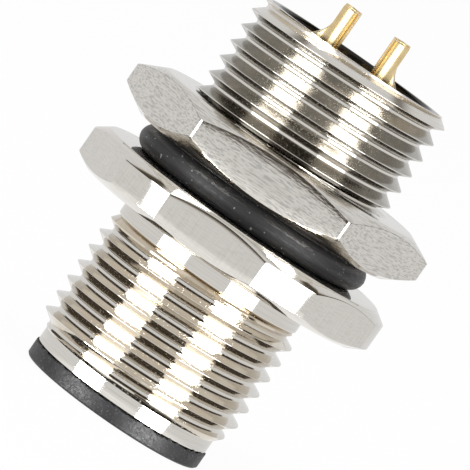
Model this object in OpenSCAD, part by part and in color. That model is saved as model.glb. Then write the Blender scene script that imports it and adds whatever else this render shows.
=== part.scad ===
// Panel-mount circular connector with an M12 fine thread at both ends.
// A turned metal shell carries a hexagonal flange, a moulded contact carrier with four
// turned contacts, a rubber panel seal and a hexagonal lock nut.
// The mating end stands on z = 0 and the solder cups point along +Z.

/* [Thread] */
// Outer diameter of both threads
thread_d = 12; // [11.6:0.1:12.4]
// Distance between two crests
thread_pitch = 1; // [0.8:0.05:1.25]
// Depth of the groove between two crests, on the radius
thread_depth = 0.6; // [0.45:0.05:0.65]
// Width of the flat on a crest
thread_crest_w = 0.16; // [0.12:0.02:0.2]
// Length of full thread at the mating end
front_thread_l = 6; // [5:0.5:9]
// Length of full thread at the solder end
rear_thread_l = 8; // [6:0.5:12]

/* [Shell] */
// How far the plain nose lies below the floor of the thread's groove, on the radius
nose_step = 0.05; // [0.02:0.01:0.15]
// Length of the plain nose
nose_l = 1.35; // [1:0.05:2]
// Length of the plain groove behind the mating thread
relief_l = 0.65; // [0.4:0.05:1]
// How far the round shoulder in front of the flange lies below the crests, on the radius
shoulder_step = 0.35; // [0.1:0.05:0.45]
// Length of the round shoulder
shoulder_l = 1.1; // [0.8:0.1:2]
// How far the neck under the panel seal stands above the groove's floor, on the radius
seal_neck_step = 0.2; // [0.05:0.05:0.3]
// How far the plain rim at the solder end stands above the groove's floor, on the radius
rim_step = 0.2; // [0.05:0.05:0.35]
// Length of the plain rim
rim_l = 0.6; // [0.4:0.05:1]
// Wall between the mating thread's groove and the bore that takes the contact carrier
front_wall = 0.45; // [0.35:0.05:0.6]
// Wall between the panel thread's groove and the bore at the solder end
rear_wall = 0.6; // [0.5:0.05:0.8]
// Chamfer on the bore's rear mouth and on the nose's edge
edge_chamfer = 0.12; // [0.08:0.02:0.16]

/* [Hexagons] */
// How far the lock nut's corners stand out beyond the crests of the panel thread, on the radius
hexagon_wall = 3.3; // [3:0.05:4]
// How far the flange's corners stay inside the nut's, on the radius
flange_inset = 0.05; // [0.02:0.01:0.2]

/* [Flange] */
// Thickness of the flange
flange_t = 2.4; // [2:0.1:4]
// Depth of the flange's flats below its round corners
flange_flat_depth = 0.5; // [0.3:0.05:0.7]
// Width of the chamfer round the flange's corners, on the radius
flange_chamfer_w = 0.75; // [0.6:0.05:0.9]
// Height of the corner chamfer on the mating side
flange_front_drop = 0.42; // [0.3:0.02:0.6]
// Height of the corner chamfer on the solder side
flange_rear_drop = 0.52; // [0.3:0.02:0.6]
// How far the flange's flats are turned about the axis
flange_turn = -5.8; // [-30:0.1:30]

/* [Panel seal] */
// Thickness of the rubber panel seal
seal_t = 1.5; // [1.2:0.1:2]

/* [Lock nut] */
// Thickness of the lock nut
nut_t = 2.7; // [2.2:0.1:4]
// Depth of the nut's flats below its corners
nut_flat_depth = 1.2; // [1:0.05:1.22]
// Width of the chamfer round the nut's corners, on the radius
nut_chamfer_w = 1.5; // [1.3:0.05:1.7]
// Height of the corner chamfer on the flange side
nut_front_drop = 0.92; // [0.6:0.02:1]
// Height of the corner chamfer on the solder side
nut_rear_drop = 0.74; // [0.6:0.02:1]
// Depth of the countersink at each end of the nut's bore
nut_countersink = 0.3; // [0.2:0.05:0.4]
// How far the nut's flats are turned about the axis
nut_turn = -0.5; // [-30:0.1:30]
// Gap between the panel seal and the nut
nut_seal_gap = 0.05; // [0.02:0.01:1]

/* [Contact carrier] */
// How far the carrier's collar stands out beyond the shell's nose, on the radius
collar_step = 0.075; // [0.025:0.025:0.15]
// Length of the collar
collar_l = 0.9; // [0.6:0.05:1.5]
// Wall of the carrier around the socket that takes the mating plug
carrier_wall = 0.62; // [0.5:0.02:0.7]
// Depth of the socket
socket_l = 8; // [7:0.5:9]
// Thickness of the carrier behind the socket
web_t = 5; // [4:0.25:6]
// Width of the coding rib in the socket
key_w = 1.1; // [0.9:0.1:1.3]
// Height of the coding rib
key_h = 0.55; // [0.4:0.05:0.6]
// Distance from the mating end to the coding rib
key_setback = 0.6; // [0.4:0.1:1.5]
// Bevel on the edges of the collar
collar_bevel = 0.08; // [0.04:0.02:0.12]

/* [Carrier seal] */
// Thickness of the small seal around the carrier
carrier_seal_t = 0.9; // [0.7:0.05:1]
// Distance from the socket's floor to the carrier seal's groove
carrier_seal_setback = 1.2; // [0.8:0.1:1.5]

/* [Contacts] */
// Diameter of the circle that the contacts stand on
contact_circle_d = 5.5; // [5.3:0.1:5.7]
// Diameter of a contact's mating pin
pin_d = 1; // [0.8:0.05:1.1]
// Distance from the mating end to the pins' tips
pin_recess = 1; // [0.6:0.1:2]
// Length of the taper at a pin's tip
pin_taper_l = 0.45; // [0.3:0.05:0.6]
// Diameter of the flat at a pin's tip
pin_tip_d = 0.4; // [0.3:0.05:0.5]
// Diameter of the collar that seats a contact in the carrier
seat_d = 1.8; // [1.5:0.05:1.9]
// Length of that collar
seat_l = 2; // [1:0.25:2.5]
// Diameter of a contact where it is pressed into the carrier
root_d = 1.4; // [1.3:0.05:1.5]
// Diameter of the shank between the collar and the solder cup
shank_d = 1.4; // [1.2:0.05:1.5]
// Length of the shank
shank_l = 4; // [3:0.25:5]

/* [Solder cups] */
// Outer diameter of a solder cup
cup_d = 1.75; // [1.5:0.05:1.9]
// Bore of a solder cup
cup_bore_d = 1.2; // [1:0.05:1.3]
// Depth of a solder cup's bore
cup_bore_l = 3.5; // [2.5:0.25:4]
// How far the cups stand out of the shell
cup_stand_out = 2.05; // [1.5:0.05:3]
// Straight length of the scoop at a cup's end
scoop_l = 1; // [0.6:0.1:1.4]
// Radius of the scoop's curve
scoop_r = 1.6; // [1.2:0.1:2]

/* [Sealing resin] */
// Depth of the resin's surface below the shell's rim
resin_depth = 2.4; // [2:0.1:4]

/* [Fits] */
// Clearance on the radius where a piece is pushed or cast into another
seat_gap = 0.03; // [0.02:0.01:0.05]
// Clearance on the radius between the lock nut and the thread's crests
nut_gap = 0.05; // [0.03:0.01:0.08]

/* [Hidden] */
$fn = 96;
overcut = 1;

// Heights along the axis, from the mating end to the solder cups
nose_z = collar_l;
front_thread_z = nose_z + nose_l;
relief_z = front_thread_z + front_thread_l;
shoulder_z = relief_z + relief_l;
flange_z = shoulder_z + shoulder_l;
flange_top_z = flange_z + flange_t;
seal_neck_l = seal_t + nut_seal_gap + nut_countersink / 2;
rear_thread_z = flange_top_z + seal_neck_l;
rim_z = rear_thread_z + rear_thread_l;
shell_end_z = rim_z + rim_l;
nut_z = flange_top_z + seal_t + nut_seal_gap;
web_z = socket_l;
carrier_end_z = web_z + web_t;
resin_top_z = shell_end_z - resin_depth;
cup_z = carrier_end_z + shank_l;
cup_end_z = shell_end_z + cup_stand_out;

// Radii shared by several pieces
thread_r = thread_d / 2;
root_r = thread_r - thread_depth;
nose_r = root_r - nose_step;
collar_r = nose_r + collar_step;
shoulder_r = thread_r - shoulder_step;
seal_neck_r = root_r + seal_neck_step;
rim_r = root_r + rim_step;
nut_corner_r = thread_r + hexagon_wall;
flange_corner_r = nut_corner_r - flange_inset;
flank_l = (thread_pitch - thread_crest_w) * 0.42;
front_bore_r = root_r - front_wall;
rear_bore_r = root_r - rear_wall;
seal_r = seal_neck_r + seat_gap + seal_t / 2;
carrier_r = front_bore_r - seat_gap;
socket_r = carrier_r - carrier_wall;
groove_r = front_bore_r - carrier_seal_t - 2 * seat_gap;
groove_l = carrier_seal_t + 4 * seat_gap;
groove_z = web_z + carrier_seal_setback;
contact_offset = contact_circle_d / 2 * sin(45);

// Outline points of the thread's rings, from their lower end upwards
function thread_rings(start_z, length) = [
    for (i = [0 : floor(length / thread_pitch + 0.001) - 1])
        let (z = start_z + (i + 0.5) * thread_pitch)
        each [[root_r, z - thread_crest_w / 2 - flank_l],
              [thread_r, z - thread_crest_w / 2],
              [thread_r, z + thread_crest_w / 2],
              [root_r, z + thread_crest_w / 2 + flank_l]]
];

// A hexagonal prism whose corners and edges are turned off on a lathe
module turned_hexagon(corner_r, flat_depth, chamfer_w, thickness, front_drop, rear_drop) {
    flat_r = corner_r - flat_depth;
    face_r = corner_r - chamfer_w;
    intersection() {
        linear_extrude(thickness) circle(r = flat_r / cos(30), $fn = 6);
        rotate_extrude() polygon([
            [0, 0], [face_r, 0], [corner_r, front_drop],
            [corner_r, thickness - rear_drop], [face_r, thickness], [0, thickness]
        ]);
    }
}

module ring_seal(centre_r, thickness) {
    rotate_extrude() translate([centre_r, 0]) circle(d = thickness, $fn = 48);
}

module shell_body() {
    rotate_extrude() polygon(concat(
        [[front_bore_r, nose_z], [nose_r - edge_chamfer, nose_z],
         [nose_r, nose_z + edge_chamfer], [nose_r, front_thread_z - edge_chamfer]],
        thread_rings(front_thread_z, front_thread_l),
        [[root_r, shoulder_z - edge_chamfer], [shoulder_r, shoulder_z],
         [shoulder_r, flange_z + flange_t / 2],
         [seal_neck_r, flange_z + flange_t / 2],
         [seal_neck_r, rear_thread_z - edge_chamfer]],
        thread_rings(rear_thread_z, rear_thread_l),
        [[root_r, rim_z], [rim_r, rim_z + rim_l / 3],
         [rim_r, shell_end_z - edge_chamfer],
         [rim_r - edge_chamfer, shell_end_z],
         [rear_bore_r + edge_chamfer, shell_end_z],
         [rear_bore_r, shell_end_z - edge_chamfer],
         [rear_bore_r, carrier_end_z], [front_bore_r, carrier_end_z]]
    ));
}

module housing_shell() {
    color([0.80, 0.77, 0.73]) {
        shell_body();
        difference() {
            translate([0, 0, flange_z]) rotate([0, 0, flange_turn])
                turned_hexagon(flange_corner_r, flange_flat_depth, flange_chamfer_w,
                               flange_t, flange_front_drop, flange_rear_drop);
            translate([0, 0, flange_z - overcut])
                cylinder(r = front_bore_r, h = flange_t + 2 * overcut);
        }
    }
}

module lock_nut() {
    bore_r = thread_r + nut_gap;
    color([0.78, 0.75, 0.70]) translate([0, 0, nut_z]) difference() {
        rotate([0, 0, nut_turn])
            turned_hexagon(nut_corner_r, nut_flat_depth, nut_chamfer_w, nut_t,
                           nut_front_drop, nut_rear_drop);
        rotate_extrude() polygon([
            [0, -overcut], [bore_r + nut_countersink, -overcut],
            [bore_r + nut_countersink, 0], [bore_r, nut_countersink],
            [bore_r, nut_t - nut_countersink], [bore_r + nut_countersink, nut_t],
            [bore_r + nut_countersink, nut_t + overcut], [0, nut_t + overcut]
        ]);
    }
}

module panel_seal_ring() {
    color([0.13, 0.13, 0.14]) translate([0, 0, flange_top_z + seal_t / 2])
        ring_seal(seal_r, seal_t);
}

module contact_carrier() {
    color([0.12, 0.12, 0.12]) difference() {
        union() {
            difference() {
                rotate_extrude() polygon([
                    [0, 0], [collar_r - collar_bevel, 0], [collar_r, collar_bevel],
                    [collar_r, collar_l - collar_bevel], [collar_r - collar_bevel, collar_l],
                    [carrier_r, collar_l], [carrier_r, groove_z], [groove_r, groove_z],
                    [groove_r, groove_z + groove_l], [carrier_r, groove_z + groove_l],
                    [carrier_r, carrier_end_z], [0, carrier_end_z]
                ]);
                translate([0, 0, -overcut]) cylinder(r = socket_r, h = web_z + overcut);
            }
            coding_rib();
        }
        for (i = [0 : 3]) at_contact(i) {
            translate([0, 0, web_z - overcut])
                cylinder(d = root_d + 2 * seat_gap, h = web_t + 2 * overcut);
            translate([0, 0, carrier_end_z - seat_l])
                cylinder(d = seat_d + 2 * seat_gap, h = seat_l + overcut);
        }
    }
}

// The rib stands on the socket's wall and ends in the web
module coding_rib() {
    translate([-key_w / 2, socket_r - key_h, key_setback])
        cube([key_w, key_h + carrier_wall / 2, web_z - key_setback + overcut / 2]);
}

module carrier_seal_ring() {
    color([0.10, 0.10, 0.11]) translate([0, 0, groove_z + groove_l / 2])
        ring_seal(groove_r + seat_gap + carrier_seal_t / 2, carrier_seal_t);
}

// Contacts 0 and 1 stand on the +Y side, and 1 and 2 on the -X side
module at_contact(i) {
    rotate([0, 0, 45 + 90 * i]) translate([contact_circle_d / 2, 0, 0])
        rotate([0, 0, -45 - 90 * i]) children();
}

// What the contact fills: the pin, its root, the seating collar, the shank and the cup
module contact_blank() {
    rotate_extrude() polygon([
        [0, pin_recess], [pin_tip_d / 2, pin_recess],
        [pin_d / 2, pin_recess + pin_taper_l], [pin_d / 2, web_z], [root_d / 2, web_z],
        [root_d / 2, carrier_end_z - seat_l], [seat_d / 2, carrier_end_z - seat_l],
        [seat_d / 2, carrier_end_z],
        [shank_d / 2, carrier_end_z], [shank_d / 2, cup_z],
        [cup_d / 2, cup_z], [cup_d / 2, cup_end_z], [0, cup_end_z]
    ]);
}

// The scoop opens the cup towards +X
module scoop() {
    scoop_z = cup_end_z - scoop_l;
    translate([0, -cup_d, scoop_z]) cube([cup_d, 2 * cup_d, scoop_l + overcut]);
    translate([scoop_r, cup_d, scoop_z]) rotate([90, 0, 0])
        cylinder(r = scoop_r, h = 2 * cup_d);
}

module contact(i) {
    outward = contact_offset * cos(45 + 90 * i) > 0 ? 0 : 180;
    color([0.87, 0.68, 0.33]) at_contact(i) difference() {
        contact_blank();
        translate([0, 0, cup_end_z - cup_bore_l])
            cylinder(d = cup_bore_d, h = cup_bore_l + overcut);
        rotate([0, 0, outward]) scoop();
    }
}

module sealing_resin() {
    color([0.09, 0.09, 0.10]) difference() {
        translate([0, 0, carrier_end_z])
            cylinder(r = rear_bore_r - seat_gap, h = resin_top_z - carrier_end_z);
        for (i = [0 : 3]) at_contact(i) {
            translate([0, 0, carrier_end_z - overcut])
                cylinder(d = shank_d + 2 * seat_gap, h = shank_l + 2 * overcut);
            translate([0, 0, cup_z - seat_gap])
                cylinder(d = cup_d + 2 * seat_gap, h = resin_top_z - cup_z + overcut);
        }
    }
}

housing_shell();
lock_nut();
panel_seal_ring();
contact_carrier();
carrier_seal_ring();
contact(0);  // contact_1
contact(1);  // contact_2
contact(2);  // contact_3
contact(3);  // contact_4
sealing_resin();
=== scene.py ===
# %% [markdown]
# # A panel-mount circular connector, dressed in Blender
#
# The real part is a small turned brass shell with a nickel finish. It has a fine thread at each
# end, a hexagonal flange in the middle, a rubber ring and a lock nut behind the flange, a black
# moulded insert in the mating end, and four gilded contacts whose solder cups stand out of the
# other end. The solid model fixes every size. This lesson builds finer skins over those solids,
# gives each one its finish and sets up a small studio round them.
#
# The first cell loads the solids. They could be drawn again from nothing, but then the looks and
# the sizes would soon drift apart, so everything below is placed from the loaded solids.

import math

import bmesh
import bpy
import numpy as np
from mathutils import Matrix, Vector


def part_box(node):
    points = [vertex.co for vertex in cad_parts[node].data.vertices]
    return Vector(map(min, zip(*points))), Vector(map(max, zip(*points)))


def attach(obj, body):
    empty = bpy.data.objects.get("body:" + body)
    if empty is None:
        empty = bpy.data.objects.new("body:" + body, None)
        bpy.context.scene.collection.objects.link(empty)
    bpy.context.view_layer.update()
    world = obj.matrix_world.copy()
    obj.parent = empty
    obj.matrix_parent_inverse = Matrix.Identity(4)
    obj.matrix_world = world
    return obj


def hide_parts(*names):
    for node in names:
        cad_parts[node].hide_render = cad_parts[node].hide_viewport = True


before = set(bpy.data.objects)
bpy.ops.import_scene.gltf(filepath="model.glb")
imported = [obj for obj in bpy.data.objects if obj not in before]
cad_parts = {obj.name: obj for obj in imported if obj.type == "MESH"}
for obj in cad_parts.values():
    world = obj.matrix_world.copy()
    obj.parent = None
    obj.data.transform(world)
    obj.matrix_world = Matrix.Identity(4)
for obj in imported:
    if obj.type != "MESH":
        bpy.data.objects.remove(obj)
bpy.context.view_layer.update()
print("solids:", sorted(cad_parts))

# %% [markdown]
# Nearly every piece of this connector is made on a lathe, so one helper can make them all. A
# screw modifier would turn an outline round the axis too, but it can't make a thread that runs
# out, a hexagon or a scooped cup in the same skin. Here a piece is a stack of rows. A row is one
# trip round the axis, with a radius and a height for each angle, and the helper fills the space
# between two rows with quads. Rows that meet are welded, so a row may shrink to a point or lie
# on its neighbour where the shape needs it. Cut metal shows a clean line wherever two faces meet,
# so an edge of more than 18 degrees stays sharp in the shading. `soften` breaks a corner with
# two short steps first, as deburring does.

# %% The row skin
MM = 0.001
WELD = 0.0002 * MM
EDGE_ANGLE = math.radians(18)
SOFTEN_LIMIT = 0.45


def trip(count, *extra):
    """Angles of one trip round the axis, both ends kept, with extra ones where edges fall."""
    even = np.linspace(0, 2 * math.pi, count + 1)
    angles = np.concatenate([even] + [np.ravel(marks) for marks in extra])
    return np.unique(np.round(np.clip(angles, 0, 2 * math.pi), 7))


def row(angles, radius, height):
    """One trip round the axis in millimetres. Numbers become even rows."""
    return angles, np.broadcast_to(radius, angles.shape), np.broadcast_to(height, angles.shape)


def skin(name, rows, closed=True):
    """A welded mesh object through rows of (angles, radius, height)."""
    points = np.array([[r * np.cos(a), r * np.sin(a), z] for a, r, z in rows]).transpose(0, 2, 1)
    levels, count = points.shape[:2]
    index = np.arange(levels * count).reshape(levels, count)
    lower = index if closed else index[:-1]
    upper = np.roll(index, -1, axis=0) if closed else index[1:]
    quads = np.stack([lower[:, :-1], lower[:, 1:], upper[:, 1:], upper[:, :-1]], -1).reshape(-1, 4)
    mesh = bpy.data.meshes.new(name)
    mesh.from_pydata((points.reshape(-1, 3) * MM).tolist(), [], quads.tolist())
    work = bmesh.new()
    work.from_mesh(mesh)
    bmesh.ops.remove_doubles(work, verts=work.verts, dist=WELD)
    bmesh.ops.dissolve_degenerate(work, edges=work.edges, dist=WELD)
    bmesh.ops.recalc_face_normals(work, faces=work.faces)
    work.to_mesh(mesh)
    work.free()
    mesh.shade_smooth()
    mesh.set_sharp_from_angle(angle=EDGE_ANGLE)
    piece = bpy.data.objects.new(name, mesh)
    bpy.context.scene.collection.objects.link(piece)
    print(f"{name}: {len(mesh.vertices)} corners, {len(mesh.polygons)} faces")
    return piece


def soften(rows, size):
    """Rounds each corner of a stack of rows with two short steps."""
    done = [rows[0]]
    for before, here, after in zip(rows, rows[1:], rows[2:]):
        ends = []
        for other in (before, after):
            run = np.hypot(other[1] - here[1], other[2] - here[2])
            share = np.minimum(size, run * SOFTEN_LIMIT) / np.maximum(run, 1e-9)
            ends.append((here[1] + (other[1] - here[1]) * share,
                         here[2] + (other[2] - here[2]) * share))
        (r0, z0), (r1, z1) = ends
        done += [(here[0], r0, z0),
                 (here[0], (r0 + 2 * here[1] + r1) / 4, (z0 + 2 * here[2] + z1) / 4),
                 (here[0], r1, z1)]
    return done + [rows[-1]]


def place(piece, body, slot, *solids):
    """The piece moves with a body and stands for its solids, which are hidden. The slot is not used.
    """
    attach(piece, body)
    for solid in solids:
        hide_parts(solid)
    return piece


# %% [markdown]
# Sizes come next. Those that the solids show are read from their boxes. The thread's pitch and
# the length of each stretch can't be read from a box, so they are written here once, in
# millimetres, and every piece below uses them.

# %% Sizes
def span(node):
    """Lowest and highest corner of a solid in millimetres."""
    low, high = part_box(node)
    return Vector(low) / MM, Vector(high) / MM


_, shell_high = span("housing_shell")
nut_low, nut_high = span("lock_nut")
seal_low, seal_high = span("panel_seal_ring")
_, carrier_high = span("contact_carrier")
resin_low, resin_high = span("sealing_resin")
contact_low, contact_high = span("contact_1")

PITCH = 1.0
CREST_R = 6.0
GROOVE_DEPTH = 0.6
NOSE_R = 5.35
FRONT_BORE_R = 4.95
SEAT_GAP = 0.03
REAR_BORE_R = resin_high.x + SEAT_GAP
FLANGE_FRONT_Z = 10.0
FLANGE_REAR_Z = seal_low.z
TURNED_EDGE = 0.03
print(f"nut from {nut_low.z:.2f} to {nut_high.z:.2f} mm; rear bore's radius {REAR_BORE_R:.2f} mm")

# %% [markdown]
# The thread is a right-hand one with a pitch of 1 mm. On the lathe a pointed tool leaves flanks
# that stand about 60 degrees apart, a narrow crest and a slightly rounded root. The tool wasn't
# held quite square to the bar, so one flank of each thread is steeper than the other. Rings would
# be quicker to make, but they look wrong at once, because the crests of a real thread climb half
# a pitch from one side to the other. So each row here follows the helix, and at the ends of the
# thread it is held back to the last height, which gives the natural run-out. An envelope, the
# outline that the bar had before the thread was cut, trims the first and last turns.

# %% Thread rows
CREST_HALF = 0.012
ROOT_ROUND = 0.03
NEAR_ROOT = GROOVE_DEPTH * 0.93


class Thread:
    """A helical thread: the crest's height at angle 0, its upper flank and its root, in pitches."""

    def __init__(self, phase, upper_flank, root):
        self.phase = phase
        self.places = [0.0, CREST_HALF, upper_flank - ROOT_ROUND, upper_flank + ROOT_ROUND,
                       upper_flank + root - ROOT_ROUND, upper_flank + root + ROOT_ROUND,
                       1 - CREST_HALF, 1.0]
        self.depths = [0.0, 0.0, NEAR_ROOT, GROOVE_DEPTH, GROOVE_DEPTH, NEAR_ROOT, 0.0, 0.0]
        flank_steps = [np.linspace(low, high, 5)[1:-1]
                       for low, high in (self.places[1:3], self.places[5:7])]
        self.stops = np.sort(np.concatenate([self.places[:-1], *flank_steps]))

    def rows(self, angles, start, end, envelope, clearance=0.0):
        """Rows between two heights, trimmed by the envelope."""
        climb = angles / (2 * math.pi)
        first = math.floor((start - self.phase) / PITCH) - 2
        last = math.ceil((end - self.phase) / PITCH) + 1
        rows = []
        for turn in range(first, last):
            for stop in self.stops:
                height = np.clip(self.phase + (turn + stop + climb) * PITCH, start, end)
                along = ((height - self.phase) / PITCH - climb) % 1.0
                radius = CREST_R - np.interp(along, self.places, self.depths) + clearance
                rows.append((angles, envelope(height, radius), height))
        return rows


FRONT_THREAD = Thread(phase=0.07, upper_flank=0.33, root=0.2)
REAR_THREAD = Thread(phase=0.24, upper_flank=0.5, root=0.18)
print("rows in one turn of thread:", len(REAR_THREAD.stops))

# %% [markdown]
# The flange and the nut are hexagons cut from round bar. Their corners keep the bar's round
# skin, and a chamfer turned on both faces leaves the curved line that every nut shows, high in
# the middle of a flat and low at a corner. Cutting a prism with a cone by a Boolean would give
# the same line, but rows give cleaner quads: at each angle the side lies at the flat or at the
# bar's skin, whichever comes first, and the chamfer follows from that radius. The nut was
# tumbled and its edges are soft, while the flange's are crisp, so the two radii meet in a
# rounded minimum whose ease can be set.

# %% Hexagon rows
EASE_STEPS = (-4, -2.4, -1.2, -0.4, 0.4, 1.2, 2.4, 4)


def flat_turn(angles, turn):
    """Angle from the middle of the nearest flat."""
    return (angles - turn + math.pi / 6) % (math.pi / 3) - math.pi / 6


def hexagon_radius(angles, flat_r, corner_r, turn, ease):
    """The flat or the bar's skin, whichever is lower, with a rounded edge between the two."""
    flat = flat_r / np.cos(flat_turn(angles, turn))
    return -ease * np.logaddexp(-flat / ease, -corner_r / ease)


def corner_angles(flat_r, corner_r, turn, ease):
    """Extra angles beside the places where the flats meet the round corners."""
    half = math.acos(flat_r / corner_r)
    reach = ease / (corner_r * math.tan(half))
    middles = turn + np.arange(6) * math.pi / 3
    marks = [middles + sign * half + step * reach
             for sign in (-1, 1) for step in EASE_STEPS]
    return np.concatenate(marks) % (2 * math.pi)


def hexagon_rows(angles, side_r, face_r, corner_r, front_z, rear_z, front_drop, rear_drop):
    """The front face's rim, the chamfer, the side, the rear chamfer and the rear face's rim."""
    share = np.clip((side_r - face_r) / (corner_r - face_r), 0, 1)
    return [row(angles, face_r, front_z), row(angles, side_r, front_z + front_drop * share),
            row(angles, side_r, rear_z - rear_drop * share), row(angles, face_r, rear_z)]


print("angles added for one hexagon:", len(corner_angles(1.0, 1.1, 0.0, 0.01)))

# %% [markdown]
# The shell is one turned piece, so it is one skin: the bore, the plain nose, the mating thread,
# the relief groove, the shoulder, the flange, the neck under the rubber ring, the panel thread
# and the chamfered rim. It could be several skins pushed into each other, but then their joins
# would show as dark lines. The nose's lead-in cone is what trims the first turn.

# %% The shell
FLANGE_FLAT_R = 8.75
FLANGE_CORNER_R = 9.25
FLANGE_FACE_R = 8.5
FLANGE_TURN = math.radians(-90 - 5.8)
FLANGE_EASE = 0.004
FLANGE_DROPS = (0.42, 0.52)
FLANGE_EDGE = 0.035
NOSE_Z = 0.9
NOSE_BEVEL = 0.1
CONE_Z = 1.75
RELIEF_Z = 8.3
RELIEF_SLOPE = 0.9
RELIEF_END_Z = 8.83
SHOULDER_Z = 8.95
SHOULDER_FILLET = (0.05, 0.08)
SHOULDER_R = 5.65
NECK_R = 5.6
REAR_THREAD_Z = 14.0
RIM_CHAMFER = 0.45
RIM_LIP = 0.02
MOUTH_BEVEL = 0.15
STEP_Z = carrier_high.z

shell_angles = trip(216, corner_angles(FLANGE_FLAT_R, FLANGE_CORNER_R, FLANGE_TURN, FLANGE_EASE))


def nose_envelope(height, radius):
    """The lead-in cone at the nose and the run-out into the relief groove."""
    lead_in = NOSE_R + (height - CONE_Z)
    run_out = CREST_R - (height - RELIEF_Z) * RELIEF_SLOPE
    return np.maximum(np.minimum(np.minimum(radius, lead_in), run_out), NOSE_R)


def rim_envelope(height, radius):
    """The neck that the thread starts from and the chamfer on the rim."""
    start = NECK_R + (height - REAR_THREAD_Z)
    rim = CREST_R - (height - (shell_high.z - RIM_CHAMFER))
    return np.minimum(np.minimum(radius, start), rim)


def build_shell():
    a = shell_angles
    nose = soften([row(a, FRONT_BORE_R, STEP_Z), row(a, FRONT_BORE_R, NOSE_Z),
                   row(a, NOSE_R - NOSE_BEVEL, NOSE_Z), row(a, NOSE_R, NOSE_Z + NOSE_BEVEL),
                   row(a, NOSE_R, CONE_Z)], TURNED_EDGE)
    front = FRONT_THREAD.rows(a, CONE_Z, RELIEF_END_Z, nose_envelope)
    side = hexagon_radius(a, FLANGE_FLAT_R, FLANGE_CORNER_R, FLANGE_TURN, FLANGE_EASE)
    fillet_r, fillet_z = SHOULDER_FILLET
    shoulder = [row(a, NOSE_R, SHOULDER_Z - fillet_z), row(a, NOSE_R + fillet_r, SHOULDER_Z),
                row(a, SHOULDER_R, SHOULDER_Z), row(a, SHOULDER_R, FLANGE_FRONT_Z)]
    flange = hexagon_rows(a, side, FLANGE_FACE_R, FLANGE_CORNER_R, FLANGE_FRONT_Z, FLANGE_REAR_Z,
                          *FLANGE_DROPS)
    neck = [row(a, NECK_R, FLANGE_REAR_Z), row(a, NECK_R, REAR_THREAD_Z)]
    middle = soften(shoulder + flange + neck, FLANGE_EDGE)
    rear = REAR_THREAD.rows(a, REAR_THREAD_Z, shell_high.z - RIM_LIP, rim_envelope)
    mouth = soften([row(a, CREST_R - RIM_CHAMFER, shell_high.z),
                    row(a, REAR_BORE_R + MOUTH_BEVEL, shell_high.z),
                    row(a, REAR_BORE_R, shell_high.z - MOUTH_BEVEL), row(a, REAR_BORE_R, STEP_Z),
                    row(a, FRONT_BORE_R, STEP_Z)], TURNED_EDGE)
    return skin("turned_shell", nose + front + middle + rear + mouth)


shell = place(build_shell(), "shell", "nickel_shell", "housing_shell")

# %% [markdown]
# The lock nut runs on the panel thread. Its own thread is the same helix, a little wider, so the
# same rows make it, and the two stay in step when the nut travels a whole number of turns. A
# countersink opens each end of the hole.

# %% The lock nut
NUT_FLAT_R = 8.1
NUT_CORNER_R = 9.3
NUT_FACE_R = 7.8
NUT_TURN = math.radians(-90 - 0.5)
NUT_EASE = 0.035
NUT_DROPS = (0.92, 0.74)
NUT_CLEARANCE = 0.05
MOUTH_EXTRA_R = 0.1

nut_angles = trip(180, corner_angles(NUT_FLAT_R, NUT_CORNER_R, NUT_TURN, NUT_EASE))


def nut_mouths(height, radius):
    """The countersinks at the two ends of the nut's hole."""
    mouth_r = CREST_R + NUT_CLEARANCE + MOUTH_EXTRA_R
    low_cone = mouth_r - (height - nut_low.z)
    high_cone = mouth_r - (nut_high.z - height)
    return np.maximum(np.maximum(radius, low_cone), high_cone)


def build_nut():
    a = nut_angles
    hole = REAR_THREAD.rows(a, nut_low.z, nut_high.z, nut_mouths, NUT_CLEARANCE)
    side = hexagon_radius(a, NUT_FLAT_R, NUT_CORNER_R, NUT_TURN, NUT_EASE)
    body = hexagon_rows(a, side, NUT_FACE_R, NUT_CORNER_R, nut_low.z, nut_high.z, *NUT_DROPS)
    outside = soften([hole[-1]] + body[::-1] + [hole[0]], TURNED_EDGE)[1:-1]
    return skin("hexagonal_nut", hole + outside)


nut = place(build_nut(), "nut", "nickel_nut", "lock_nut")

# %% [markdown]
# The panel seal is a moulded rubber ring. The mould closes round its middle, so a real one
# carries a hair-thin parting line and is never quite smooth. A torus primitive has neither. The
# rows below go round the ring's section, with the parting line as a low ridge.

# %% The rubber ring
SEAL_R = (seal_high.z - seal_low.z) / 2
SEAL_MIDDLE_R = seal_high.x - SEAL_R
SEAL_Z = (seal_high.z + seal_low.z) / 2
SWELL = 0.006
SWELL_BELOW = 0.012
PARTING_H = 0.012
PARTING_W = 0.06


def build_seal():
    a = trip(160)
    rows = []
    for around in np.linspace(0, 2 * math.pi, 49)[:-1]:
        swell = SWELL * np.sin(5 * a + 2 * around) - SWELL_BELOW
        ridge = PARTING_H * math.exp(-(math.sin(around) / PARTING_W) ** 2)
        radius = SEAL_R + swell + ridge
        rows.append(row(a, SEAL_MIDDLE_R + radius * math.cos(around),
                        SEAL_Z + radius * math.sin(around)))
    return skin("rubber_ring", rows)


seal = place(build_seal(), "shell", "black_rubber", "panel_seal_ring")

# %% [markdown]
# The contact carrier is one moulding. Its collar is the black ring at the mating end, and behind
# it the carrier fills the shell's bore. The socket holds the four pins, and a rib on its wall
# keys the mating plug. The collar is pressed against the nose, which leaves a ragged lip of
# plastic there. A seeded random draw, smoothed over a few steps, makes that lip.

# %% The contact carrier
COLLAR_R = NOSE_R + 0.075
COLLAR_BEVEL = 0.1
LIP_H = 0.24
LIP_START = (0.02, 0.05)
LIP_LEAN = 0.3
COLLAR_BACK_Z = NOSE_Z - 0.01
SOCKET_R = 4.3
SOCKET_BEVEL = 0.12
WEB_Z = 8.0
RIB_HALF = math.radians(7.9)
RIB_SIDE = 0.006
RIB_H = 0.55
RIB_Z = 0.6
RIB_BEVEL = 0.05
SEAL_GROOVE_R = 3.99
SEAL_GROOVE_Z = (9.2, 10.22)
MOULDED_EDGE = 0.025

draw = np.random.default_rng(12)


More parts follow.
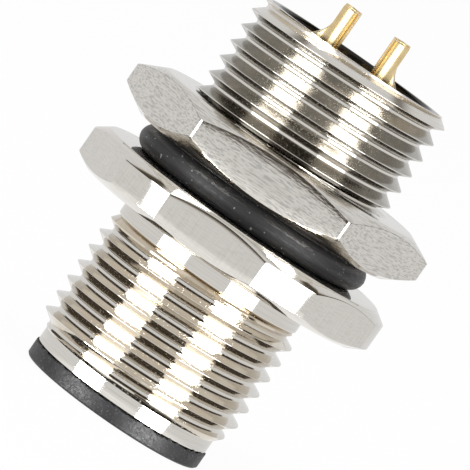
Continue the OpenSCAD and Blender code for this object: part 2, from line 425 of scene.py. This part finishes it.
def ragged(angles, height, reach=2):
    """A random edge with a few high tongues, closed on itself."""
    steps = draw.random(len(angles) - 1)
    steps = np.mean([np.roll(steps, shift) for shift in range(reach)], axis=0)
    return height * np.append(steps, steps[0]) ** 2


def build_carrier():
    rib = math.pi / 2 + np.array([-RIB_HALF - RIB_SIDE, -RIB_HALF, RIB_HALF, RIB_HALF + RIB_SIDE])
    a = trip(220, rib)
    in_rib = np.abs(a - math.pi / 2) < RIB_HALF + 0.001
    keyed_r = SOCKET_R - RIB_H * in_rib
    body_r = FRONT_BORE_R - SEAT_GAP
    low, high = SEAL_GROOVE_Z
    lip = ragged(a, LIP_H)
    lip_out, lip_down = LIP_START
    socket = [row(a, 0, WEB_Z), row(a, keyed_r, WEB_Z), row(a, keyed_r, RIB_Z + RIB_BEVEL),
              row(a, keyed_r + RIB_BEVEL * in_rib, RIB_Z), row(a, SOCKET_R, RIB_Z - 0.01),
              row(a, SOCKET_R, SOCKET_BEVEL), row(a, SOCKET_R + SOCKET_BEVEL, 0)]
    collar = [row(a, COLLAR_R - COLLAR_BEVEL, 0), row(a, COLLAR_R, COLLAR_BEVEL),
              row(a, COLLAR_R, NOSE_Z - 0.12),
              row(a, COLLAR_R + lip_out - lip * LIP_LEAN, NOSE_Z - lip_down + lip),
              row(a, NOSE_R - 0.05, COLLAR_BACK_Z)]
    body = [row(a, body_r, COLLAR_BACK_Z), row(a, body_r, low), row(a, SEAL_GROOVE_R, low),
            row(a, SEAL_GROOVE_R, high), row(a, body_r, high), row(a, body_r, carrier_high.z),
            row(a, 0, carrier_high.z)]
    rows = soften(socket + collar + body, MOULDED_EDGE)
    return skin("moulded_carrier", rows, closed=False)


carrier = place(build_carrier(), "shell", "black_plastic", "contact_carrier")

# %% [markdown]
# Each contact is turned from brass and gilded. The pin ends in a rounded taper. The other end is
# a drilled cup, scooped open on its outer side so that a wire can be laid in and soldered. A
# Boolean cut would leave ragged thin faces on so small a tube. Here each row of the cup's wall
# ends at the height where the scoop meets it. That height falls in one step at the scoop's flat
# side, and then along an arc to the outer wall. The inner wall and the rim follow the same rule
# at their own radius.

# %% The contacts
CONTACT_OFFSET = (contact_high.x + contact_low.x) / 2
PIN_R = 0.5
PIN_TIP = [(0, 1.0), (0.12, 1.0), (0.26, 1.06), (0.4, 1.22), (PIN_R, 1.5)]
PIN_ROOT_Z = WEB_Z + 0.2
SHANK_R = 0.7
CUP_Z = 17.0
CUP_R = (contact_high.x - contact_low.x) / 2
CUP_BORE_R = 0.6
CUP_TOP_Z = contact_high.z
CUP_BORE_Z = CUP_TOP_Z - 3.5
DRILL_POINT = 0.35
CUP_EDGE = 0.03
SCOOP_SIDE = 0.004
SCOOP_X = 0.115
SCOOP_Z = CUP_TOP_Z - 1.0
SCOOP_ARC = 1.6
CONTACTS = {"contact_1": (1, 1), "contact_2": (-1, 1), "contact_3": (-1, -1), "contact_4": (1, -1)}


def scoop_height(x):
    """Height of the cup's edge at a distance x towards the open side."""
    away = np.clip(x - SCOOP_X, 0, SCOOP_ARC)
    arc = SCOOP_Z - np.sqrt(SCOOP_ARC ** 2 - (SCOOP_ARC - away) ** 2)
    return np.where(x <= SCOOP_X + 1e-6, CUP_TOP_Z, arc)


def wall_angles(radius, base):
    """Moves the columns beside the scoop's flat side so that they lie on it at this radius."""
    meet = math.acos(SCOOP_X / radius)
    start = math.acos(SCOOP_X / CUP_R)
    angles = base.copy()
    for side in (start, 2 * math.pi - start):
        pull = np.clip(1 - np.abs(base - side) / 0.5, 0, 1)
        angles += pull * (math.copysign(meet - start, math.pi - side))
    return angles


def build_contact(name, side_x, side_y):
    start = math.acos(SCOOP_X / CUP_R)
    base = trip(64, [start, start + SCOOP_SIDE, 2 * math.pi - start - SCOOP_SIDE, 2 * math.pi - start])
    open_side = np.cos(base) > SCOOP_X / CUP_R - 1e-3

    def edge(radius, below=0.0):
        angles = wall_angles(radius, base)
        x = np.where(open_side, np.maximum(radius * np.cos(angles), SCOOP_X + 2e-3), -1.0)
        return angles, np.full_like(base, radius), scoop_height(x) - below

    lathe = PIN_TIP + [(PIN_R, PIN_ROOT_Z), (SHANK_R, PIN_ROOT_Z), (SHANK_R, CUP_Z), (CUP_R, CUP_Z),
                       (CUP_R, CUP_BORE_Z)]
    rows = soften([row(base, r, z) for r, z in lathe], TURNED_EDGE)
    rim = [edge(CUP_R, CUP_EDGE), edge(CUP_R - CUP_EDGE), edge(CUP_BORE_R + CUP_EDGE),
           edge(CUP_BORE_R, CUP_EDGE)]
    bore = [row(base, CUP_BORE_R, CUP_BORE_Z), row(base, 0, CUP_BORE_Z - DRILL_POINT)]
    piece = skin(name, rows + rim + bore, closed=False)
    turn = Matrix.Rotation(0 if side_x > 0 else math.pi, 4, "Z")
    shift = Matrix.Translation(Vector((side_x, side_y, 0)) * CONTACT_OFFSET * MM)
    piece.data.transform(shift @ turn)
    return piece


contacts = [place(build_contact("gilded_" + node, *sides), "shell", "gold_plating", node)
            for node, sides in CONTACTS.items()]

# %% [markdown]
# Black resin is poured into the solder end to hold the contacts and keep water out. Poured resin
# climbs a little where it wets a wall, so its surface is a shallow dish with a raised edge and a
# small collar round each cup. The loaded solid has a flat top, so a new skin with those edges
# stands for it.

# %% The resin
WETTING = 0.16
DISH = 0.2
RESIN_GAP = 0.02


def build_resin():
    a = trip(160)
    wall_r = REAR_BORE_R - RESIN_GAP
    rows = [row(a, 0, resin_low.z), row(a, wall_r, resin_low.z), row(a, wall_r, resin_high.z)]
    for radius in np.linspace(wall_r, 0, 44)[1:]:
        x, y = radius * np.cos(a), radius * np.sin(a)
        rise = np.exp(-(wall_r - radius) / WETTING)
        for side_x, side_y in CONTACTS.values():
            away = np.hypot(x - side_x * CONTACT_OFFSET, y - side_y * CONTACT_OFFSET) - CUP_R
            rise = np.maximum(rise, np.exp(-np.maximum(away, 0) / WETTING))
        rows.append((a, np.full_like(a, radius), resin_high.z - DISH * (1 - rise)))
    return skin("poured_resin", rows, closed=False)


resin = place(build_resin(), "shell", "black_resin", "sealing_resin")

# %% [markdown]
# Finishes come next. Each one is a small tree of nodes, and a few helpers keep the trees short.
# `add` makes a node, sets its plain values and wires its inputs, so a tree reads from the
# surface's position to the shader. A mask is a number from 0 to 1 that says how far the surface
# lies in some place, and two masks are joined by `product`.

# %% Node helpers
def add(tree, kind, wires=None, **values):
    """A new node. values set its properties, wires fill its inputs by name or number."""
    node = tree.nodes.new(kind)
    for name, value in values.items():
        setattr(node, name, value)
    for socket, source in (wires or {}).items():
        target = node.inputs[socket]
        if isinstance(source, bpy.types.NodeSocket):
            tree.links.new(source, target)
        else:
            target.default_value = source
    return node


def maths(tree, operation, *sources):
    return add(tree, "ShaderNodeMath", dict(enumerate(sources)), operation=operation).outputs[0]


def product(tree, first, *others):
    for other in others:
        first = maths(tree, "MULTIPLY", first, other)
    return first


def total(tree, first, *others):
    for other in others:
        first = maths(tree, "ADD", first, other)
    return first


def ramp(tree, source, low, high, to_low=0.0, to_high=1.0):
    """A smooth step of a value from one level to another."""
    return add(tree, "ShaderNodeMapRange", {"Value": source, 1: low, 2: high, 3: to_low, 4: to_high},
               interpolation_type="SMOOTHSTEP").outputs[0]


def ramp_mm(tree, length, limits, *levels):
    """A smooth step of a length between two limits given in millimetres."""
    return ramp(tree, length, limits[0] * MM, limits[1] * MM, *levels)


def blend(tree, share, first, second):
    """A colour between two colours."""
    node = add(tree, "ShaderNodeMix", {0: share, 6: first, 7: second}, data_type="RGBA")
    return node.outputs[2]


def grain(tree, vector, scale, detail=3.0, roughness=0.55):
    return add(tree, "ShaderNodeTexNoise", {"Vector": vector, "Scale": scale, "Detail": detail,
                                            "Roughness": roughness}).outputs["Fac"]


def new_finish(name):
    """An empty finish: its tree, its shader and the position on the piece."""
    finish = bpy.data.materials.new(name)
    finish.use_nodes = True
    tree = finish.node_tree
    shader = tree.nodes["Principled BSDF"]
    position = add(tree, "ShaderNodeTexCoord").outputs["Object"]
    print("new finish:", name)
    return finish, tree, shader, position


def turned_place(tree, position):
    """Radius, angle and height of the surface round the lathe's axis, in metres and radians."""
    parts = add(tree, "ShaderNodeSeparateXYZ", {0: position}).outputs
    squares = total(tree, product(tree, parts[0], parts[0]), product(tree, parts[1], parts[1]))
    radius = maths(tree, "SQRT", squares)
    return radius, maths(tree, "ARCTAN2", parts[1], parts[0]), parts[2]


def stretched(tree, x, y, z):
    return add(tree, "ShaderNodeCombineXYZ", {0: x, 1: y, 2: z}).outputs[0]


# %% [markdown]
# Nickel over turned brass is a warm, light grey metal. Up close it isn't a clean mirror. The
# lathe leaves fine rings, the milling cutter leaves lines along the flange's flats, and the nut's
# flats keep short dents from the drawn bar. The shade in the thread's grooves is painted into the
# colour: the flanks that face the mating end get a painted brown shade, both flanks of the panel
# thread get a painted grey shade over that, and the relief groove is painted brown as well. The
# inside of the rim, above the resin, is painted near black. One roughness all over would look
# like foil, so the finish has to know where it is. The slope of the surface tells a flank from a
# crest, the radius tells the thread from a flat, and the height tells one thread from the other.
# The limits of each place are in millimetres.

# %% Places on the nickel
NICKEL = (0.79, 0.765, 0.72, 1)
NICKEL_DULL = (0.62, 0.59, 0.54, 1)
NICKEL_SPECK = (0.8, 0.77, 0.72, 1)
# Painted shade: the next two colours darken the thread's flanks and the relief groove.
BROWN_GROOVE_SHADE = (0.62, 0.55, 0.45, 1)
REAR_FLANK_SHADE = (0.36, 0.342, 0.308, 1)
DENT = (0.33, 0.315, 0.295, 1)
# The inside of the rim above the resin is painted near black with the next colour.
RIM_INSIDE_COLOUR = (0.035, 0.031, 0.027, 1)
THREAD_FOOT = (5.30, 5.45)
THREAD_CREST = (5.99, 5.95)
FLANK_SLOPE = (0.35, 0.65)
PANEL_THREAD_FROM = (13.2, 13.6)
RIM_DULL_Z = shell_high.z - 0.9
RIM_DULL = (RIM_DULL_Z, RIM_DULL_Z + 0.1)
RIM_DARK_RADII = (5.38, 5.30)
RIM_DARK_HEIGHTS = (15.0, 16.0)


def turned_noise(tree, turned, scales, detail=3.0):
    """Grain that is stretched by its own share along the radius, the angle and the height."""
    return grain(tree, stretched(tree, *(product(tree, part, scale) if scale else 0.0
                                         for part, scale in zip(turned, scales))), 1.0, detail)


# The flanks found here are given painted shade in the nickel finish.
def flank_masks(tree, turned):
    """The flanks that face the mating end, and both flanks of the panel thread."""
    radius, _, height = turned
    normal = add(tree, "ShaderNodeNewGeometry").outputs["Normal"]
    slope = add(tree, "ShaderNodeSeparateXYZ", {0: normal}).outputs[2]
    in_thread = product(tree, ramp_mm(tree, radius, THREAD_FOOT), ramp_mm(tree, radius, THREAD_CREST))
    low, high = FLANK_SLOPE
    under = product(tree, in_thread, ramp(tree, slope, -low, -high))
    over = product(tree, in_thread, ramp(tree, slope, low, high))
    on_panel_thread = product(tree, ramp_mm(tree, height, PANEL_THREAD_FROM),
                              ramp_mm(tree, height, RIM_DULL[::-1]))
    return under, product(tree, on_panel_thread, total(tree, under, over))


print("the rim's dull zone starts at", round(RIM_DULL_Z, 2), "mm")

# %% [markdown]
# With the places known, the finish is built up in layers: bright metal with its tool lines, then
# the painted brown and grey shade on the flanks and in the relief groove, specks, dents and the
# near-black inside of the rim, each laid over what is there. The specks also stand out a little
# from the flanks, where they catch the light. Painted pictures of wear would tie each mark to one
# spot, while noise gives the shell and the nut their own marks from the same few lines.

# %% Nickel
def nickel(name, line_scale, bump, flat_from, milled_along, dent_share):
    finish, tree, shader, position = new_finish(name)
    turned = turned_place(tree, position)
    radius, angle, height = turned
    on_flat = ramp_mm(tree, radius, (flat_from, flat_from + 0.1))
    lines = turned_noise(tree, turned, (line_scale, 1.5, line_scale))
    if milled_along:
        along = turned_noise(tree, (angle, 0.0, height), (260.0, 0, 500.0))
        lines = total(tree, lines, product(tree, on_flat, maths(tree, "SUBTRACT", along, lines)))
    dents = ramp(tree, turned_noise(tree, turned, (9000.0, 11.0, 13000.0), 2), 0.47, 0.64)
    cloud = grain(tree, position, 700)
    speck = ramp(tree, grain(tree, position, 9000, 2), 0.62, 0.72)
    under, rear_flanks = flank_masks(tree, turned)
    spark = product(tree, speck, total(tree, under, product(tree, rear_flanks, 0.5)))
    # Painted shade: the relief groove is painted brown.
    shaded_relief_groove = product(tree, ramp_mm(tree, height, (RELIEF_Z, RELIEF_Z + 0.08)),
                            ramp_mm(tree, height, (SHOULDER_Z, SHOULDER_Z - 0.03)))
    # The inside of the rim above the resin is painted near black.
    dark_rim_inside = product(tree, ramp_mm(tree, radius, RIM_DARK_RADII), ramp_mm(tree, height, RIM_DARK_HEIGHTS))

    base = blend(tree, ramp(tree, lines, 0.35, 0.75, 0.0, 0.5), NICKEL, NICKEL_DULL)
    # Painted shade goes on the flanks and in the relief groove here; the specks and dents are marks.
    stains_and_painted_shade = [(product(tree, under, ramp(tree, cloud, 0.3, 0.6, 0.7, 1.0)), BROWN_GROOVE_SHADE),
              (product(tree, rear_flanks, ramp(tree, cloud, 0.35, 0.65, 1.0, 0.8)), REAR_FLANK_SHADE),
              (product(tree, speck, 0.25), NICKEL_SPECK),
              (product(tree, shaded_relief_groove, 0.85), BROWN_GROOVE_SHADE),
              (product(tree, dents, on_flat, dent_share), DENT),
              (dark_rim_inside, RIM_INSIDE_COLOUR)]
    for share, colour in stains_and_painted_shade:
        base = blend(tree, share, base, colour)
    tree.links.new(base, shader.inputs["Base Color"])
    shader.inputs["Metallic"].default_value = 1.0
    rough = total(tree, ramp(tree, lines, 0.3, 0.8, 0.05, 0.09), product(tree, rear_flanks, 0.10),
                  product(tree, spark, 0.3), ramp_mm(tree, height, RIM_DULL, 0.0, 0.10))
    tree.links.new(rough, shader.inputs["Roughness"])
    relief = add(tree, "ShaderNodeBump", {"Height": lines, "Strength": 0.5, "Distance": bump})
    relief = add(tree, "ShaderNodeBump", {"Height": spark, "Strength": 0.6, "Distance": 0.000005,
                                          "Normal": relief.outputs[0]})
    tree.links.new(relief.outputs[0], shader.inputs["Normal"])
    return finish


NICKEL_SHELL = nickel("nickel_on_turned_shell", line_scale=14000, bump=0.000001, flat_from=8.7,
                      milled_along=True, dent_share=0.12)
NICKEL_NUT = nickel("nickel_on_nut", line_scale=9000, bump=0.000012, flat_from=7.9,
                    milled_along=False, dent_share=0.50)
print("nickel nodes:", len(NICKEL_SHELL.node_tree.nodes), "on the shell,",
      len(NICKEL_NUT.node_tree.nodes), "on the nut")

# %% [markdown]
# The ring is nitrile rubber. It is nearly black, it has a soft, wide shine, and it picks up
# white dust as soon as it is handled. The dust is a high, narrow band of a fine noise.

# %% Rubber
def rubber():
    finish, tree, shader, position = new_finish("moulded_rubber")
    skin_grain = grain(tree, position, 5200, 4)
    dust = ramp(tree, grain(tree, position, 4300, 1), 0.70, 0.76)
    base = blend(tree, grain(tree, position, 420), (0.014, 0.014, 0.015, 1), (0.034, 0.034, 0.036, 1))
    tree.links.new(blend(tree, dust, base, (0.35, 0.35, 0.34, 1)), shader.inputs["Base Color"])
    tree.links.new(ramp(tree, skin_grain, 0.3, 0.7, 0.38, 0.55), shader.inputs["Roughness"])
    relief = add(tree, "ShaderNodeBump", {"Height": skin_grain, "Strength": 0.4, "Distance": 0.00001})
    tree.links.new(relief.outputs[0], shader.inputs["Normal"])
    return finish


RUBBER = rubber()

# %% [markdown]
# The carrier is glass-filled nylon. It is a shade lighter than the rubber and has a fine, matt
# skin from the mould, with pale flecks where the fibres come to the surface.

# %% Moulded plastic
def moulded_plastic():
    finish, tree, shader, position = new_finish("moulded_black_nylon")
    mould = grain(tree, position, 7500, 5, 0.7)
    fleck = ramp(tree, grain(tree, position, 9000, 1), 0.64, 0.72)
    smear = ramp(tree, grain(tree, position, 900, 3), 0.35, 0.65)
    base = blend(tree, mould, (0.007, 0.007, 0.008, 1), (0.020, 0.020, 0.022, 1))
    base = blend(tree, product(tree, smear, 0.6), base, (0.030, 0.030, 0.033, 1))
    tree.links.new(blend(tree, product(tree, fleck, 0.5), base, (0.22, 0.22, 0.22, 1)),
                   shader.inputs["Base Color"])
    tree.links.new(ramp(tree, mould, 0.3, 0.7, 0.42, 0.62), shader.inputs["Roughness"])
    relief = add(tree, "ShaderNodeBump", {"Height": mould, "Strength": 0.5, "Distance": 0.000012})
    tree.links.new(relief.outputs[0], shader.inputs["Normal"])
    return finish


NYLON = moulded_plastic()

# %% [markdown]
# Gold plate on a turned pin keeps the pin's lathe lines, and they show as thin brown and cream
# stripes across the cup.

# %% Gold plate
def gold_plate():
    finish, tree, shader, position = new_finish("gold_plate")
    height = add(tree, "ShaderNodeSeparateXYZ", {0: position}).outputs[2]
    lines = grain(tree, stretched(tree, 0.0, 0.0, product(tree, height, 16000)), 1.0)
    cloud = grain(tree, position, 1500)
    base = blend(tree, ramp(tree, cloud, 0.3, 0.7), (0.90, 0.73, 0.42, 1), (0.80, 0.60, 0.30, 1))
    tree.links.new(blend(tree, ramp(tree, lines, 0.55, 0.75, 0, 0.25), base, (0.55, 0.30, 0.08, 1)),
                   shader.inputs["Base Color"])
    shader.inputs["Metallic"].default_value = 1.0
    tree.links.new(ramp(tree, lines, 0.3, 0.8, 0.14, 0.3), shader.inputs["Roughness"])
    relief = add(tree, "ShaderNodeBump", {"Height": lines, "Strength": 0.5, "Distance": 0.000001})
    tree.links.new(relief.outputs[0], shader.inputs["Normal"])
    return finish


GOLD = gold_plate()

# %% [markdown]
# Cured resin is black and glossy, with slow waves in its surface and a few trapped dust grains.

# %% Resin finish
def cured_resin():
    finish, tree, shader, position = new_finish("cured_resin")
    waves = grain(tree, position, 600, 2)
    dust = ramp(tree, grain(tree, position, 6000, 1), 0.72, 0.78)
    tree.links.new(blend(tree, dust, (0.010, 0.010, 0.011, 1), (0.16, 0.16, 0.15, 1)),
                   shader.inputs["Base Color"])
    tree.links.new(ramp(tree, waves, 0.3, 0.7, 0.10, 0.24), shader.inputs["Roughness"])
    relief = add(tree, "ShaderNodeBump", {"Height": waves, "Strength": 0.5, "Distance": 0.00004})
    tree.links.new(relief.outputs[0], shader.inputs["Normal"])
    return finish


RESIN = cured_resin()

# %% [markdown]
# Each piece gets one finish. The small seal inside the carrier comes straight from the solids,
# because nothing of it shows, and it shares the rubber of the big ring. The shell could have had
# a finish for each of its zones, but one finish that knows its place leaves no seam between them.

# %% Put the finishes on
FINISHES = {shell: NICKEL_SHELL, nut: NICKEL_NUT, seal: RUBBER, carrier: NYLON, resin: RESIN,
            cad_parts["carrier_seal_ring"]: RUBBER}
FINISHES.update({contact: GOLD for contact in contacts})
for piece, finish in FINISHES.items():
    piece.data.materials.clear()
    piece.data.materials.append(finish)
    print(piece.name, "has", finish.name)

# %% [markdown]
# A studio for bright metal is mostly what the metal sees, and that room comes in the next cell.
# The lamps here do what a room can't. The key and the fill light the black pieces and cast the
# soft shadow. They could light the metal as well, but at the strength that turns nickel white
# they would wash out the rubber, so each lamp reaches either the mirror rays or the soft ones.
# The flanks of the rear thread also show, by way of their neighbours, what lies low in front of
# the part. Two small white cards would be propped there, and two bright boxes stand in for them.

# %% Lamps
SUBJECT = Vector((0, 0, 11.5)) * MM
CARD_DISTANCE = 0.040
CARD_ELEVATIONS = (-33, -17)
LAMP_DISTANCE = 0.5


def lamp(name, distance, azimuths, elevations, glow, for_metal):
    """A soft box that fills a range of azimuths, counted from the camera's side, and elevations."""
    left, right = (math.radians(value) for value in azimuths)
    low, high = (math.tan(math.radians(value)) * distance for value in elevations)
    middle = (left + right) / 2
    way = Vector((math.sin(middle), -math.cos(middle), 0))
    data = bpy.data.lights.new(name, "AREA")
    data.shape = "RECTANGLE"
    data.size, data.size_y = 2 * distance * math.tan((right - left) / 2), high - low
    data.energy = glow * 4 * data.size * data.size_y
    box = bpy.data.objects.new(name, data)
    box.location = SUBJECT + way * distance + Vector((0, 0, (low + high) / 2))
    box.rotation_euler = way.to_track_quat("Z", "Y").to_euler()
    box.visible_camera = False
    box.visible_glossy = for_metal
    box.visible_diffuse = not for_metal
    bpy.context.scene.collection.objects.link(box)
    print(f"{name}: {data.size:.3f} by {data.size_y:.3f} m")


lamp("low_card_left", CARD_DISTANCE, (-60, -24), CARD_ELEVATIONS, 18.0, for_metal=True)
lamp("low_card_right", CARD_DISTANCE, (25, 60), CARD_ELEVATIONS, 18.0, for_metal=True)
lamp("key", LAMP_DISTANCE, (-60, -10), (20, 55), 2.0, for_metal=False)
lamp("fill", LAMP_DISTANCE, (20, 70), (0, 30), 1.2, for_metal=False)

# %% [markdown]
# Metal like this is lit in a light tent. The world shader draws that tent by direction, with a
# height from -1 straight down to 1 straight up, and only mirror rays see it. The walls are
# light grey and the ground is white. A dark brown card in front, above the lens, draws the dark
# patches between the crests. Two tall white strips beside it draw the two white bands down every
# round surface. The strips are bright at the level of the part. They are calmer above and below,
# so that a pair of flanks, which passes that light on to the lens, turns cream and not white.
# They lean outwards with height. Card and strips end below the tent's roof and stop behind the
# part, which keeps the hexagons' chamfers light. Each pair of numbers says where a step starts
# and where it is done, and a strip's third number is its lean. Real boxes and cards round the
# part could do the same, but each would have to be placed by trial, and their edges would differ
# for the nose and the rim, while a room without distance treats the whole part alike.

# %% World
WALL = 0.77
WALL_FOOT = (-0.26, -0.20)
DARK_CARD = 0.08
CARD_TONE = (1, 0.84, 0.66, 1)
CARD_FOOT = (0.10, 0.14)
ROOF = (0.90, 0.85)
FRONT = (0.95, 0.88)
FRONT_LEAN = 0.6
STRIP_GLOW = 3.8
STRIP_GLOW_LOW = 1.4
STRIP_GLOW_FOOT = (-0.34, -0.26)
STRIP_SHARE_HIGH = 0.42
STRIP_HIGH = (0.30, 0.50)
STRIP_MIDDLE = math.radians(1)
STRIP_INNER = [math.radians(value) for value in (26.2, 26.8, 7.0)]
STRIP_OUTER = [math.radians(value) for value in (65.0, 64.4, 19.0)]
SOFT_LIGHT = 0.8


def room_by_direction(tree):
    """Strength and tone of the room that the metal sees."""
    direction = add(tree, "ShaderNodeTexCoord").outputs["Generated"]
    aside_x, away_y, up = add(tree, "ShaderNodeSeparateXYZ", {0: direction}).outputs
    below_roof = ramp(tree, up, *ROOF)
    front = ramp(tree, maths(tree, "MULTIPLY_ADD", up, FRONT_LEAN, away_y), *FRONT)
    card = product(tree, ramp(tree, up, *CARD_FOOT), below_roof, front)
    walls = product(tree, ramp(tree, up, *WALL_FOOT, 1.0, WALL),
                    ramp(tree, card, 0, 1, 1.0, DARK_CARD / WALL))
    azimuth = maths(tree, "ARCTAN2", aside_x, product(tree, away_y, -1.0))
    aside = maths(tree, "ABSOLUTE", maths(tree, "SUBTRACT", azimuth, STRIP_MIDDLE))
    upward = maths(tree, "MAXIMUM", up, 0.0)
    edges = [ramp(tree, maths(tree, "SUBTRACT", aside, product(tree, upward, lean)), low, high)
             for low, high, lean in (STRIP_INNER, STRIP_OUTER)]
    strip = product(tree, *edges, below_roof, front)
    glow = product(tree, ramp(tree, up, *STRIP_GLOW_FOOT, STRIP_GLOW_LOW, STRIP_GLOW),
                   ramp(tree, up, *STRIP_HIGH, 1.0, STRIP_SHARE_HIGH))
    strength = maths(tree, "MAXIMUM", walls, product(tree, strip, glow))
    brown = product(tree, card, maths(tree, "SUBTRACT", 1.0, strip))
    return strength, blend(tree, brown, (1, 1, 1, 1), CARD_TONE)


def build_world():
    world = bpy.data.worlds.new("white_room")
    world.use_nodes = True
    tree = world.node_tree
    tree.nodes.clear()
    strength, tone = room_by_direction(tree)
    room = add(tree, "ShaderNodeBackground", {"Color": tone, "Strength": strength})
    soft = add(tree, "ShaderNodeBackground", {"Color": (1, 1, 1, 1), "Strength": SOFT_LIGHT})
    white = add(tree, "ShaderNodeBackground", {"Color": (1, 1, 1, 1), "Strength": 1.0})
    path = add(tree, "ShaderNodeLightPath").outputs
    seen = maths(tree, "MAXIMUM", path["Is Camera Ray"], path["Is Transmission Ray"])
    mix = add(tree, "ShaderNodeMixShader",
              {0: path["Is Glossy Ray"], 1: soft.outputs[0], 2: room.outputs[0]})
    mix = add(tree, "ShaderNodeMixShader", {0: seen, 1: mix.outputs[0], 2: white.outputs[0]})
    add(tree, "ShaderNodeOutputWorld", {0: mix.outputs[0]})
    bpy.context.scene.world = world
    print("world:", len(tree.nodes), "nodes")


build_world()

# %% [markdown]
# The floor is white paper. It is white for the camera by its own glow, and it takes a small share
# of its tone from the light that falls on it, which keeps the soft shadow. More light alone would
# whiten it too, but it would also wash out the black pieces. The metal doesn't see the paper,
# since a sheet so close under the part would show in every flank. It lies a hair below the part,
# so that the two faces don't flicker into each other.

# %% Floor
PAPER_GLOW = 0.93
PAPER_DROP = 0.02
PAPER_R = 6.0


def seen_ray(tree):
    """1 for a ray of the camera or of a mirror or glass, else 0."""
    path = add(tree, "ShaderNodeLightPath").outputs
    mirror = maths(tree, "MAXIMUM", path["Is Glossy Ray"], path["Is Transmission Ray"])
    return maths(tree, "MAXIMUM", path["Is Camera Ray"], mirror)


def build_floor():
    work = bmesh.new()
    bmesh.ops.create_circle(work, cap_ends=True, segments=64, radius=PAPER_R)
    mesh = bpy.data.meshes.new("paper_floor")
    work.to_mesh(mesh)
    work.free()
    paper = bpy.data.materials.new("white_paper")
    paper.use_nodes = True
    tree = paper.node_tree
    tree.nodes.clear()
    matt = add(tree, "ShaderNodeBsdfDiffuse", {"Color": (0.9, 0.9, 0.9, 1)})
    glow = add(tree, "ShaderNodeEmission", {"Color": (1, 1, 1, 1), "Strength": 1.0})
    share = product(tree, seen_ray(tree), PAPER_GLOW)
    mix = add(tree, "ShaderNodeMixShader", {0: share, 1: matt.outputs[0], 2: glow.outputs[0]})
    add(tree, "ShaderNodeOutputMaterial", {0: mix.outputs[0]})
    mesh.materials.append(paper)
    floor = bpy.data.objects.new("paper_floor", mesh)
    bpy.context.scene.collection.objects.link(floor)
    floor.location.z = -PAPER_DROP * MM
    floor.visible_glossy = False


build_floor()
bpy.context.scene.view_settings.view_transform = "Standard"
print("view transform:", bpy.context.scene.view_settings.view_transform)

# %% [markdown]
# The camera is a long lens 27 cm away and a little above the level of the part. It is rolled by
# about 35 degrees, which makes the upright connector lean across the picture. Turning the
# connector instead would look the same, but it would then no longer stand on its floor.

# %% Camera
CAMERA_TARGET = Vector((0.080, 0.0, 11.379)) * MM
CAMERA_DISTANCE = 273.98 * MM
CAMERA_ELEVATION = math.radians(4.589)
CAMERA_ROLL = math.radians(34.74)
LENS = 397.0
SENSOR = 36.0


def build_camera():
    data = bpy.data.cameras.new("long_lens")
    data.lens, data.sensor_width = LENS, SENSOR
    data.clip_start, data.clip_end = 0.01, 50
    camera = bpy.data.objects.new("camera", data)
    back = Vector((0, -math.cos(CAMERA_ELEVATION), math.sin(CAMERA_ELEVATION)))
    upright = Matrix((Vector((1, 0, 0)), back.cross(Vector((1, 0, 0))), back)).transposed().to_4x4()
    roll = Matrix.Rotation(CAMERA_ROLL, 4, "Z")
    camera.matrix_world = Matrix.Translation(CAMERA_TARGET + back * CAMERA_DISTANCE) @ upright @ roll
    bpy.context.scene.collection.objects.link(camera)
    bpy.context.scene.camera = camera
    print("camera at", [round(value, 4) for value in camera.matrix_world.translation])


build_camera()
